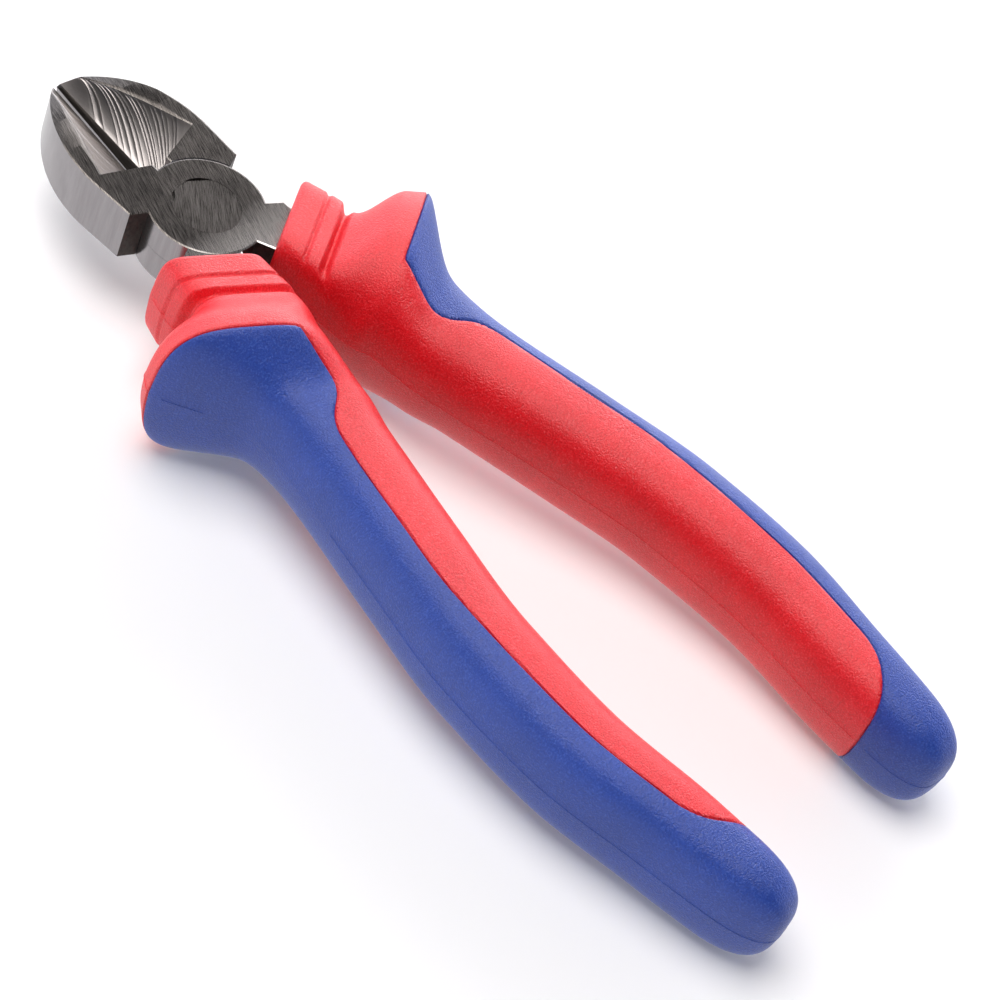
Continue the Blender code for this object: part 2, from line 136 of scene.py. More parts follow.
def ranged(tree, value, low, high, start=0.0, end=1.0):
    """A value that runs from start to end while the given one runs from low to high."""
    return add_node(tree, "ShaderNodeMapRange", {0: value, 1: low, 2: high, 3: start, 4: end}).outputs[0]


def blended(tree, share, first, second):
    """Two colours mixed, with a share of the second."""
    mixed = add_node(tree, "ShaderNodeMix", {"Factor": share, "A": first, "B": second}, data_type="RGBA")
    return mixed.outputs["Result"]


def noise(tree, place, scale, detail, roughness=0.5):
    """Cloudy noise, mostly between 0.3 and 0.7."""
    return add_node(tree, "ShaderNodeTexNoise", {"Vector": place, "Scale": scale, "Detail": detail,
                                                 "Roughness": roughness}).outputs["Fac"]


def add_mesh(name, verts, faces, edges=()):
    """A mesh object at the origin from points in millimetres round the rivet."""
    mesh = bpy.data.meshes.new(name)
    points = (np.asarray(verts, float) + PIVOT) * MM
    mesh.from_pydata(points.tolist(), edges, faces)
    piece = bpy.data.objects.new(name, mesh)
    bpy.context.collection.objects.link(piece)
    return piece


def bake(piece):
    """Turns a piece and its modifiers into a plain mesh on the same object."""
    bpy.context.view_layer.update()
    graph = bpy.context.evaluated_depsgraph_get()
    mesh = bpy.data.meshes.new_from_object(piece.evaluated_get(graph))
    piece.modifiers.clear()
    piece.data = mesh
    return piece


def smooth_faces(piece, angle):
    """Smooth shading that breaks at edges sharper than an angle and leaves level faces flat."""
    piece.data.set_sharp_from_angle(angle=angle)
    faces = piece.data.polygons
    faces.foreach_set("use_smooth", [abs(face.normal.z) < 0.9999 for face in faces])


def mirrored(points, side):
    """Points as they lie on one side: 1 keeps them, -1 swaps left and right."""
    return np.asarray(points, float) * ([side] + [1] * (len(points[0]) - 1))


# Steel levers


def arc(radius, start, end, steps, centre=(0.0, 0.0)):
    """Plan points along an arc, both ends included."""
    turns = np.linspace(start, end, steps + 1)
    return [(centre[0] + radius * cos(t), centre[1] + radius * sin(t)) for t in turns]


def collar_point(across, deep):
    """Plan point in the collar, across from its inner side and deep from its front."""
    return (COLLAR_INNER + across * cos(COLLAR_TILT) + deep * sin(COLLAR_TILT),
            across * sin(COLLAR_TILT) - deep * cos(COLLAR_TILT) - GRIP_FRONT)


def lever_outline():
    """A whole lever from above: jaw on the left, lap disc, neck on the right."""
    bow = JAW_SIDE_RADIUS - HEAD_HALF_WIDTH
    bow_y = JAW_LENGTH - sqrt(JAW_SIDE_RADIUS ** 2 - bow ** 2)
    past = 0.5
    corner = HEAD_HALF_WIDTH - JAW_SIDE_LEAN
    outline = arc(JAW_SIDE_RADIUS, acos((past - bow) / JAW_SIDE_RADIUS), pi, 40, (bow, bow_y))
    outline.append((-corner, corner * tan(JAW_SHOULDER_ANGLE)))
    outline += arc(LAP_RADIUS, pi - JAW_SHOULDER_ANGLE, 2 * pi - NECK_INNER_ANGLE, 64)
    outer = NECK_INSET + NECK_WIDTH
    outline += [collar_point(NECK_INSET, 0.0), collar_point(NECK_INSET, NECK_DEPTH),
                collar_point(outer, NECK_DEPTH), collar_point(outer, 0.0)]
    reach = LAP_RADIUS + NECK_SHOULDER
    outline.append((reach * cos(NECK_SHOULDER_ANGLE), -reach * sin(NECK_SHOULDER_ANGLE)))
    outline += arc(LAP_RADIUS, -NECK_SHOULDER_ANGLE, acos(-ROOT_NOTCH / LAP_RADIUS), 64)
    outline += [(-ROOT_NOTCH, HOLLOW_ROOT_Y + past), (past, HOLLOW_ROOT_Y + 2 * past)]
    return np.array(outline)


def inset(outline, distance):
    """An anticlockwise outline drawn in by a small distance."""
    before = outline - np.roll(outline, 1, axis=0)
    after = np.roll(outline, -1, axis=0) - outline
    sharpest = 0.6
    normals = []
    for edge in (before, after):
        normals.append(np.stack([-edge[:, 1], edge[:, 0]], 1) / np.linalg.norm(edge, axis=1)[:, None])
    middle = normals[0] + normals[1]
    middle /= np.maximum((middle * normals[1]).sum(1), sharpest)[:, None]
    return outline + distance * middle


def loft(name, rings, **marks):
    """A closed solid through rings of points, flat at each end; marks hold one number for each point."""
    count = len(rings[0])
    faces = [list(range(count)), [(len(rings) - 1) * count + i for i in range(count)]]
    for r in range(len(rings) - 1):
        for i in range(count):
            j = (i + 1) % count
            faces.append([r * count + i, r * count + j, (r + 1) * count + j, (r + 1) * count + i])
    piece = add_mesh(name, np.concatenate(rings), faces)
    for mark, values in marks.items():
        piece.data.attributes.new(mark, "FLOAT", "POINT").data.foreach_set("value", np.ravel(values))
    shape = bmesh.new()
    shape.from_mesh(piece.data)
    bmesh.ops.remove_doubles(shape, verts=shape.verts, dist=1e-7)
    bmesh.ops.recalc_face_normals(shape, faces=shape.faces)
    shape.to_mesh(piece.data)
    shape.free()
    return piece


def flat_ring(outline, z):
    """A plan outline as a ring of points at one height."""
    return np.column_stack([outline, np.full(len(outline), z)])


def bevelled_plate(name, outline, half, bevel):
    """An upright plate with a shallow bevel round both rims."""
    drop = bevel * tan(BEVEL_ANGLE)
    steps = [(bevel, -half), (0.0, drop - half), (0.0, half - drop), (bevel, half)]
    return loft(name, [flat_ring(inset(outline, draw), z) for draw, z in steps])


def turned(name, profile, sides):
    """A solid of revolution from (radius, height) points, listed from bottom to top."""
    turns = 2 * pi * np.arange(sides) / sides
    circle = np.column_stack([np.cos(turns), np.sin(turns)])
    return loft(name, [flat_ring(r * circle, z) for r, z in profile])


def both_ends(half):
    """A profile listed upwards from the middle, with its mirror image below it."""
    return [(r, -z) for r, z in half[::-1]] + half


def nose_height(y):
    """Height of a jaw's top, which curves down towards the tip."""
    past = np.maximum(y - JAW_LENGTH + NOSE_LENGTH, 0.0)
    return HALF_THICKNESS - NOSE_RADIUS + np.sqrt(NOSE_RADIUS ** 2 - past ** 2)


def jaw_section(part):
    """Edge point and hollow's rim point at a place along the jaw: 0 at its root, 1 at its tip."""
    y = HOLLOW_ROOT_Y + (JAW_LENGTH - HOLLOW_ROOT_Y) * part
    edge = (EDGE_CLEARANCE + y * REST_SLOPE, y,
            EDGE_ROOT_HEIGHT + (EDGE_TIP_HEIGHT - EDGE_ROOT_HEIGHT) * part)
    rim_y = HOLLOW_REAR_Y + (HOLLOW_TIP_Y - HOLLOW_REAR_Y) * part
    return edge, (HOLLOW_REAR_X + (HOLLOW_TIP_X - HOLLOW_REAR_X) * part, rim_y, nose_height(rim_y))


def open_side(side):
    """Everything past a jaw's cutting edge, with the relief under that edge."""
    top = HALF_THICKNESS + MARGIN
    lean = tan(EDGE_RELIEF_ANGLE)
    rings = []
    for part in (0.0, HOLLOW_OVERRUN):
        x, y, z = jaw_section(part)[0]
        rings.append(mirrored([(x - (top - z) * lean, y, top), (-MARGIN, y, top), (-MARGIN, y, -top),
                               (x + (top + z) * lean, y, -top)], -side))
    return loft("open_side", rings)


# Places along the hollow's rim and along its foot that one flute line joins: 0 at the tip, 1 at the root
FAN_RIM = (-0.6, 0.0, 0.07, 0.26, 0.33, 0.45, 0.62, 0.8, 1.0)
FAN_FOOT = (-0.6, 0.50, 0.64, 0.87, 0.95, 1.02, 1.08, 1.12, 1.15)
FAN_BOW = 0.85
FLUTES_START = -0.1
FLUTES_FULL = -0.05
FLUTE_FADE = 0.06


def new_tree(name, **inputs):
    """A geometry node tree with a geometry input and output and further named inputs."""
    tree = bpy.data.node_groups.new(name, "GeometryNodeTree")
    tree.interface.new_socket("Geometry", in_out="INPUT", socket_type="NodeSocketGeometry")
    for word, kind in inputs.items():
        tree.interface.new_socket(word, in_out="INPUT", socket_type="NodeSocket" + kind)
    tree.interface.new_socket("Geometry", in_out="OUTPUT", socket_type="NodeSocketGeometry")
    return tree, add_node(tree, "NodeGroupInput").outputs


def end_tree(tree, geometry, surface):
    """Ends a tree: instances made real, then one material."""
    real = add_node(tree, "GeometryNodeRealizeInstances", {0: geometry}).outputs[0]
    coated = add_node(tree, "GeometryNodeSetMaterial", {0: real, "Material": surface}).outputs[0]
    add_node(tree, "NodeGroupOutput", {0: coated})
    return tree


def flute_tree():
    """Node tree that sinks a fan of shallow flutes, sharp at their crests, into a marked surface."""
    tree, given = new_tree("fan_of_flutes", flute_count="Float", flute_depth="Float", flute_wander="Float",
                           crest_sharpness="Float", seed="Float", material="Material")
    fan, mask = [add_node(tree, "GeometryNodeInputNamedAttribute", {"Name": word},
                          data_type="FLOAT").outputs[0] for word in ("fan", "fluted")]
    place = worked(tree, "ADD", fan, given["seed"])
    wander = add_node(tree, "ShaderNodeTexNoise", {"W": place, "Scale": 11.0, "Detail": 0.0},
                      noise_dimensions="1D").outputs["Fac"]
    strayed = worked(tree, "MULTIPLY_ADD", wander, given["flute_wander"], place)
    phase = worked(tree, "MULTIPLY", strayed, given["flute_count"])
    across = worked(tree, "FRACT", phase)
    rest = worked(tree, "SUBTRACT", 1.0, across)
    dip = worked(tree, "MULTIPLY", worked(tree, "MULTIPLY", across, 4.0), rest)
    flute = worked(tree, "POWER", dip, given["crest_sharpness"])
    # Each flute is cut to a depth of its own
    number = worked(tree, "FLOOR", phase)
    own = add_node(tree, "ShaderNodeTexWhiteNoise", {"W": number}, noise_dimensions="1D")
    uneven = worked(tree, "MULTIPLY_ADD", own.outputs["Value"], 0.8, 0.3)
    depth = worked(tree, "MULTIPLY", uneven, given["flute_depth"])
    sunk = worked(tree, "MULTIPLY", worked(tree, "MULTIPLY", flute, depth), mask)
    normal = add_node(tree, "GeometryNodeInputNormal").outputs[0]
    offset = add_node(tree, "ShaderNodeVectorMath", {0: normal, "Scale": sunk}, operation="SCALE")
    moved = add_node(tree, "GeometryNodeSetPosition", {"Geometry": given["Geometry"],
                                                       "Offset": offset.outputs[0]})
    return end_tree(tree, moved.outputs[0], given["material"])


def run_tree(piece, tree, **values):
    """Runs a node tree on a piece with its named inputs set, and bakes the result."""
    step = piece.modifiers.new(tree.name, "NODES")
    step.node_group = tree
    for item in tree.interface.items_tree:
        if item.in_out == "INPUT" and item.name in values:
            step[item.identifier] = values[item.name]
    return bake(piece)


def hollow_ring(start):
    """Points along one flute line across the hollow, each with its share of the flutes' depth."""
    down = np.concatenate([[1, 1], np.linspace(1.0, 0.0, 24), [0, 0, 0]])
    foot = np.interp(start, FAN_RIM, FAN_FOOT)
    part = np.clip(1 - start - (foot - start) * down ** FAN_BOW, 0.0, HOLLOW_OVERRUN)
    (x, y, z), (rim_x, rim_y, rim_z) = jaw_section(part)
    rolled = RIM_ROLL * np.sin(pi * np.minimum(part, 1.0)) ** 2
    lip = rim_z - RIM_FALL * (RIM_BEVEL + rolled)
    facet = 1 - EDGE_FACET_TAPER * part
    low_x, low_z = x + EDGE_FACET_WIDTH * facet, z + EDGE_FACET_RISE * facet
    sag = 4 * HOLLOW_SAG * (rim_x - low_x) * down * (1 - down)
    at = rim_x + (low_x - rim_x) * down + sag / 2
    up = lip - RIM_SINK + (low_z - lip + RIM_SINK) * down - sag
    # The line starts above the edge, runs down its facet, and ends over the rim's bevel
    top = HALF_THICKNESS + MARGIN
    over = rim_x[-1] + RIM_BEVEL + rolled[-1] + 0.1
    at[:2] = x[0] - EDGE_FACET_WIDTH
    up[:2] = top, z[0] - EDGE_FACET_RISE
    at[-3:] = rim_x[-1] + RIM_BEVEL, over, over
    up[-3:] = lip[-1] + RIM_RISE, lip[-1] + 2 * RIM_FALL * (RIM_BEVEL + rolled[-1]), top
    fade = np.clip(np.minimum(part, HOLLOW_OVERRUN - part) / FLUTE_FADE, 0.0, 1.0)
    smooth_tip = np.clip((start - FLUTES_START) / (FLUTES_FULL - FLUTES_START), 0.0, 1.0)
    mask = smooth_tip * fade * np.clip(12 * down * (1 - down), 0.0, 1.0) ** 0.5
    ahead = y + (rim_y - y) / (rim_x - x) * (at - x)
    ahead[-3:] = rim_y[-1] + (at[-3:] - rim_x[-1]) * RIM_SLANT
    return np.column_stack([at, ahead, up]), mask


def hollow(side, tree, surface):
    """The dished, fluted face ground into a jaw's top, down to the facet beside its edge."""
    starts = np.linspace(FAN_RIM[0], FAN_RIM[-1], 460)
    rings, masks = zip(*[hollow_ring(start) for start in starts])
    piece = loft("hollow", [mirrored(ring, -side) for ring in rings],
                 fan=np.repeat(starts, len(masks[0])), fluted=masks)
    return run_tree(piece, tree, flute_count=17.0, flute_depth=0.07 * MM, flute_wander=0.035,
                    crest_sharpness=0.6, seed=3.0, material=surface)


def cut(piece, other):
    """Cuts another solid out of a piece; the other solid is then gone."""
    step = piece.modifiers.new(other.name, "BOOLEAN")
    step.operation = "DIFFERENCE"
    step.solver = "EXACT"
    step.object = other
    bake(piece)
    bpy.data.objects.remove(other)


def finish_steel(piece, side, finishes):
    """Gives each face of a lever the finish of its place."""
    mesh = piece.data
    mesh.materials.clear()
    for surface in finishes:
        mesh.materials.append(surface)
    flat, polished, hollowed, facet, scale = range(5)
    for face in mesh.polygons:
        x, y = (np.array(face.center) / MM - PIVOT)[:2]
        from_edge = -side * x - EDGE_CLEARANCE - y * REST_SLOPE
        before_rim = HOLLOW_REAR_X - RIM_SLANT * (y - HOLLOW_REAR_Y) + 0.05 + side * x
        part = (y - HOLLOW_ROOT_Y) / (JAW_LENGTH - HOLLOW_ROOT_Y)
        if part > 0 and before_rim > 0 and 0.3 < face.normal.z < 0.999:
            beside = EDGE_FACET_WIDTH * (1 - EDGE_FACET_TAPER * part)
            face.material_index = hollowed if from_edge > beside else facet
        elif abs(face.normal.z) > 0.9:
            face.material_index = flat
        else:
            # The crotch below the lap disc and the shoulder's stop faces take the near-black finish, as
            # painted shade
            shaded_crotch = y < 0.1 - LAP_RADIUS and abs(x) < LAP_RADIUS / 2
            shaded_stop = face.normal.y < -0.8 and y > 0
            face.material_index = scale if shaded_crotch or shaded_stop else polished


def lever(name, side, finishes, flutes):
    """One forged lever; side 1 has its lap disc on top and its handle on the right."""
    outline = lever_outline()
    if side < 0:
        outline = mirrored(outline, side)[::-1]
    piece = bevelled_plate(name, outline, HALF_THICKNESS, STEEL_BEVEL)
    reach, lip = LAP_RADIUS + LAP_GAP, 0.1
    recess = [(reach, side * LAP_FACE_GAP / 2), (reach, -side * (HALF_THICKNESS - lip)),
              (reach + 3 * lip, -side * (HALF_THICKNESS + 2 * lip))]
    cut(piece, turned("recess", recess, 160))
    ys = np.linspace(JAW_LENGTH - NOSE_LENGTH, JAW_LENGTH + 2.0, 40)
    profile = [(y, nose_height(y)) for y in ys] + [(ys[-1], MARGIN), (ys[0] - MARGIN, MARGIN)]
    cut(piece, loft("nose", [[(x, y, z) for y, z in profile] for x in (-MARGIN, MARGIN)]))
    cut(piece, open_side(side))
    cut(piece, hollow(side, flutes, finishes[0]))
    head = RIVET_RADIUS + RIVET_GAP
    half = [(RIVET_SHANK_RADIUS + RIVET_SHANK_GAP, RIVET_SHANK_HEIGHT), (head, RIVET_RIM_HEIGHT),
            (head, HALF_THICKNESS + MARGIN)]
    cut(piece, turned("bore", both_ends(half), RIVET_SIDES))
    if side > 0:
        for span in RIVET_FLASHES:
            cut(piece, rivet_flash(*span))
    finish_steel(piece, side, finishes)
    smooth_faces(piece, STEEL_SHARP_ANGLE)
    return piece


def rivet_flash(start, end):
    """A crescent-shaped dent left beside the rivet's head where it was upset."""
    steps = 24
    outer = np.array(arc(RIVET_RADIUS + FLASH_REACH, start, end, steps))
    inner = outer * (1 - FLASH_BITE * np.sin(pi * np.arange(steps + 1) / steps))[:, None]
    outline = np.concatenate([outer, inner[-2:0:-1]])
    ends = (HALF_THICKNESS - FLASH_DEPTH, HALF_THICKNESS + 1.0)
    return loft("flash", [flat_ring(outline, z) for z in ends])


def rivet(name, surface):
    """The rivet, its heads ground flush and very slightly rounded off at the rim."""
    half = [(RIVET_SHANK_RADIUS, RIVET_SHANK_HEIGHT), (RIVET_RADIUS, RIVET_RIM_HEIGHT),
            (RIVET_RADIUS, HALF_THICKNESS - 0.06), (RIVET_RADIUS - 0.05, HALF_THICKNESS - 0.01)]
    piece = turned(name, both_ends(half), RIVET_SIDES)
    for span in RIVET_FLASHES:
        cut(piece, rivet_flash(*span))
    piece.data.materials.clear()
    piece.data.materials.append(surface)
    smooth_faces(piece, STEEL_SHARP_ANGLE)
    return piece


# Moulded grips


# Sections of the grip: back, inner side, tilt in degrees, width, height, inner and outer squareness
GUARD_STATION = (GUARD, 4.3, 29, 26.7, 27.2, 2.8, 3.6)
FRONT_STATIONS = np.array([
    (GRIP_FRONT, COLLAR_INNER, 29, 15.6, 16.0, 8.0, 6.0),
    (GRIP_FRONT + 7.3, 1.8, 29, 16.9, 17.2, 8.0, 6.0),
    (GRIP_FRONT + 9.2, 2.0, 29, 16.7, 18.2, 5.0, 4.2),
    (GUARD - 2.5, 3.0, 29, 26.4, 26.4, 2.4, 3.0),
    GUARD_STATION,
])
REAR_STATIONS = np.array([
    GUARD_STATION,
    (GUARD + 7.3, 4.9, 26, 17.4, 18.6, 3.0, 3.3),
    (GUARD + 14.0, 6.4, 18, 15.8, 17.8, 2.5, 2.7),
    (61.6, 10.6, 10, 14.8, 17.3, 2.8, 3.1),
    (78.3, 14.0, 6, 14.6, 17.4, 2.8, 3.0),
    (94.9, 15.0, 3, 14.0, 17.0, 2.8, 3.3),
    (111.6, 13.8, -1.5, 12.6, 17.2, 2.8, 3.2),
    (GRIP_LENGTH, 13.4, -7, 9.9, 16.9, 2.65, 2.95),
])
# Collar grooves: place behind the front, half width, depth
GROOVES = ((4.8, 0.65, 0.3), (8.3, 1.2, 1.0))
COLLAR_END = GRIP_FRONT + 9.5
FLARE_END = GUARD + 2.0
CAP_SHARES = (0.02, 0.35, 0.7, 0.9)
GUARD_SOFTNESS = 0.5
DRAFT = 0.06


def through(places, values, at):
    """A curve through given values that never overshoots them."""
    steps = np.diff(places)
    slopes = np.diff(values) / steps
    product = slopes[:-1] * slopes[1:]
    same = product > 0
    between = np.where(same, 2 * product / np.where(same, slopes[:-1] + slopes[1:], 1.0), 0.0)
    tangents = np.concatenate([slopes[:1], between, slopes[-1:]])
    i = np.clip(np.searchsorted(places, at, side="right") - 1, 0, len(slopes) - 1)
    t = (at - places[i]) / steps[i]
    return (values[i] * (1 + 2 * t) * (1 - t) ** 2 + values[i + 1] * t * t * (3 - 2 * t)
            + steps[i] * (tangents[i] * t * (1 - t) ** 2 - tangents[i + 1] * t * t * (1 - t)))


def grip_sizes(back):
    """Inner side, tilt, width, height and squareness of the grip's sections, softened at the guard."""
    reach = 3 * GUARD_SOFTNESS
    shifts = np.linspace(-reach, reach, 13)
    weights = np.exp(-0.5 * (shifts / GUARD_SOFTNESS) ** 2)
    sizes = 0.0
    for shift, weight in zip(shifts, weights / weights.sum()):
        at = np.clip(back + shift, GRIP_FRONT, GRIP_LENGTH)
        parts = [np.stack([through(table[:, 0], table[:, k], np.clip(at, table[0, 0], table[-1, 0]))
                           for k in range(1, 7)]) for table in (FRONT_STATIONS, REAR_STATIONS)]
        sizes = sizes + weight * np.where(at < GUARD, *parts)
    sizes[1] = np.radians(sizes[1])
    return sizes


def groove_inset(behind):
    """How far the collar's top and outer side are drawn in: two soft grooves with a rib between them."""
    depth = np.zeros_like(behind)
    for centre, half, deep in GROOVES:
        depth += deep * np.cos(pi / 2 * np.clip((behind - centre) / half, -1.0, 1.0)) ** 2
    return depth


def grip_rows():
    """Places of all rings along the grip, with how far each is drawn in, grooved and shrunk."""
    cap = np.ones(len(CAP_SHARES))
    turn = np.linspace(0.0, pi / 2, 8)
    rounding = GRIP_FRONT + FRONT_ROUNDING * (1 - np.cos(turn))
    collar = np.arange(GRIP_FRONT + FRONT_ROUNDING + 0.12, COLLAR_END, 0.12)
    flare = np.arange(COLLAR_END, FLARE_END, 0.2)
    tail = GRIP_LENGTH - TAIL_ROUNDING
    handle = np.arange(FLARE_END, tail, 0.42)
    closing = np.sin(np.linspace(0.0, pi / 2, 36))[:-1]
    length = TAIL_ROUNDING + REAR_STATIONS[-1, 3] / 2 * sin(radians(REAR_STATIONS[-1, 2]))
    back = np.concatenate([GRIP_FRONT * cap, rounding, collar, flare, handle, tail + length * closing])
    drawn = np.zeros(len(back))
    drawn[:len(cap) + len(turn)] = FRONT_ROUNDING * np.concatenate([cap, 1 - np.sin(turn)])
    share = np.ones(len(back))
    share[:len(cap)] = CAP_SHARES
    share[-len(closing):] = (1 - closing ** 2.8) ** (1 / 3.1)
    return back, drawn, groove_inset(back - GRIP_FRONT), share


def grip_grid():
    """Points of the right grip's outside, evenly spaced round each ring, and how far back each ring is."""
    back, drawn, groove, share = grip_rows()
    inner, tilt, width, height, square_in, square_out = grip_sizes(back)
    turn = np.linspace(pi, -pi, 1441)
    cosine, sine = np.cos(turn), np.sin(turn)
    rows = []
    for i in range(len(back)):
        power = np.where(cosine < 0, 2 / square_in[i], 2 / square_out[i])
        wide = np.sign(cosine) * np.abs(cosine) ** power
        high = np.sign(sine) * np.abs(sine) ** power
        # The grooves fade out on the inner side
        sunk = drawn[i] + groove[i] * np.clip((wide + 0.97) / 0.12, 0.0, 1.0)
        wide = wide * (1 - DRAFT * np.abs(high))
        wide = share[i] * (width[i] / 2 - sunk) * wide
        high = share[i] * (height[i] / 2 - sunk) * high
        walk = np.concatenate([[0.0], np.cumsum(np.hypot(np.diff(wide), np.diff(high)))])
        stops = walk[-1] * np.arange(GRIP_COLUMNS) / GRIP_COLUMNS
        across = width[i] / 2 + np.interp(stops, walk, wide)
        rows.append(np.column_stack([inner[i] + across * cos(tilt[i]), across * sin(tilt[i]) - back[i],
                                     np.interp(stops, walk, high)]))
    return np.array(rows), back


# Seam in plan, each corner with the radius that it is rounded to
SEAM = ((45.0, -7.9, 0.0), (10.9, -26.8, 0.4), (10.35, -35.7, 2.6), (15.7, -39.6, 2.6),
        (17.5, -46.5, 9.0), (20.2, -59.0, 20.0), (21.8, -66.0, 20.0), (22.9, -77.0, 20.0),
        (23.3, -88.0, 20.0), (23.4, -94.0, 20.0), (22.8, -100.5, 20.0), (21.5, -110.0, 2.0),
        (20.0, -113.2, 3.0), (16.9, -116.1, 9.0), (13.5, -118.3, 9.0), (4.0, -122.0, 0.0))
# Loops cut beside the seam, and how deep each is sunk
SEAM_LEVELS = (-0.17, 0.0, 0.17)
SEAM_SINK = (0.0, 0.3, 0.0)
SEAM_REACH = 3.0


def seam_line():
    """The seam between the two mouldings seen from above, with its corners rounded."""
    spots = np.array(SEAM)
    line = [spots[0, :2]]
    for before, corner, after in zip(spots, spots[1:], spots[2:]):
        legs = [before[:2] - corner[:2], after[:2] - corner[:2]]
        lengths = [np.linalg.norm(leg) for leg in legs]
        reach = min(corner[2], 0.48 * min(lengths))
        start, end = [corner[:2] + leg / length * reach for leg, length in zip(legs, lengths)]
        for t in np.linspace(0.0, 1.0, 7):
            line.append((1 - t) ** 2 * start + 2 * t * (1 - t) * corner[:2] + t * t * end)
    return np.array(line + [spots[-1, :2]])


def seam_distance(points):
    """Distance from the seam in plan: above zero on the soft cover, below on the hard body."""
    line = seam_line()
    nearest = np.full(len(points), np.inf)
    for a, b in zip(line, line[1:]):
        along = np.clip(((points - a) @ (b - a)) / max((b - a) @ (b - a), 1e-9), 0.0, 1.0)
        nearest = np.minimum(nearest, np.linalg.norm(points - a - along[:, None] * (b - a), axis=1))
    region = np.concatenate([line, [(4.0, -160.0), (60.0, -160.0), (60.0, 0.5)]])
    inside = np.zeros(len(points), bool)
    for a, b in zip(region, np.roll(region, -1, axis=0)):
        crosses = (a[1] > points[:, 1]) != (b[1] > points[:, 1])
        run = (b[0] - a[0]) * (points[:, 1] - a[1]) / np.where(b[1] == a[1], 1.0, b[1] - a[1]) + a[0]
        inside ^= crosses & (points[:, 0] < run)
    return np.where(inside, nearest, -nearest)


def cut_level(shape, layer, level):
    """Runs an edge loop along all points at one distance from the seam."""
    close = 0.012
    for vert in shape.verts:
        if abs(vert[layer] - level) < close:
            vert[layer] = level
    for edge in list(shape.edges):
        a, b = edge.verts[0][layer], edge.verts[1][layer]
        if (a - level) * (b - level) < 0:
            bmesh.utils.edge_split(edge, edge.verts[0], (level - a) / (b - a))[1][layer] = level
    for face in list(shape.faces):
        on = [vert for vert in face.verts if vert[layer] == level]
        if len(on) == 2 and not any(edge.other_vert(on[0]) == on[1] for edge in on[0].link_edges):
            bmesh.utils.face_split(face, on[0], on[1])


def grip_shells(word, side, rows, hard, soft):
    """The hard body and soft cover of one grip, as two closed shells that meet in a sunk seam."""
    count = len(rows)
    points = np.concatenate([rows.reshape(-1, 3), [rows[0].mean(axis=0), rows[-1].mean(axis=0)]])
    shape = bmesh.new()
    layer = shape.verts.layers.float.new("seam")
    distance = np.clip(seam_distance(points[:, :2]), -SEAM_REACH, SEAM_REACH)
    placed = (mirrored(points, side) + PIVOT) * MM
    verts = [shape.verts.new(point) for point in placed]
    for vert, value in zip(verts, distance):
        vert[layer] = value
    for r in range(count):
        for i in range(GRIP_COLUMNS):
            j = (i + 1) % GRIP_COLUMNS
            a, b = verts[r * GRIP_COLUMNS + i], verts[r * GRIP_COLUMNS + j]
            if r == 0:
                shape.faces.new((a, b, verts[-2]))
            if r == count - 1:
                shape.faces.new((a, b, verts[-1]))
            else:
                behind = (r + 1) * GRIP_COLUMNS
                shape.faces.new((a, b, verts[behind + j], verts[behind + i]))
    bmesh.ops.recalc_face_normals(shape, faces=shape.faces)
    for level in SEAM_LEVELS:
        cut_level(shape, layer, level)
    shape.normal_update()
    moves = [(vert, vert.normal * float(np.interp(vert[layer], SEAM_LEVELS, SEAM_SINK)) * MM)
             for vert in shape.verts if abs(vert[layer]) < SEAM_LEVELS[-1]]
    for vert, move in moves:
        vert.co -= move
    pieces = []
    for name, sign, surface in (("grip_body_", -1, hard), ("grip_cover_", 1, soft)):
        half = shape.copy()
        key = half.verts.layers.float["seam"]
        other = [face for face in half.faces if sign * sum(vert[key] for vert in face.verts) <= 0]
        bmesh.ops.delete(half, geom=other, context="FACES")
        mesh = bpy.data.meshes.new(name + word)
        half.to_mesh(mesh)
        half.free()
        mesh.materials.append(surface)
        piece = bpy.data.objects.new("visual_" + name + word, mesh)
        bpy.context.collection.objects.link(piece)
        wall = piece.modifiers.new("wall", "SOLIDIFY")
        wall.thickness = GRIP_WALL * MM
        wall.offset = -1.0
        bake(piece)
        smooth_faces(piece, radians(40))
        pieces.append(piece)
    shape.free()
    return pieces


def bead_tree():
    """Node tree that runs a fine round bead along a drawn line."""
    tree, given = new_tree("parting_bead", bead_radius="Float", bead_sides="Int", material="Material")
    line = add_node(tree, "GeometryNodeMeshToCurve", {"Mesh": given["Geometry"]}).outputs[0]
    ring = add_node(tree, "GeometryNodeCurvePrimitiveCircle", {"Resolution": given["bead_sides"],
                                                               "Radius": given["bead_radius"]}, mode="RADIUS")
    swept = add_node(tree, "GeometryNodeCurveToMesh", {"Curve": line, "Profile Curve": ring.outputs[0],
                                                       "Fill Caps": True})
    return end_tree(tree, swept.outputs[0], given["material"])


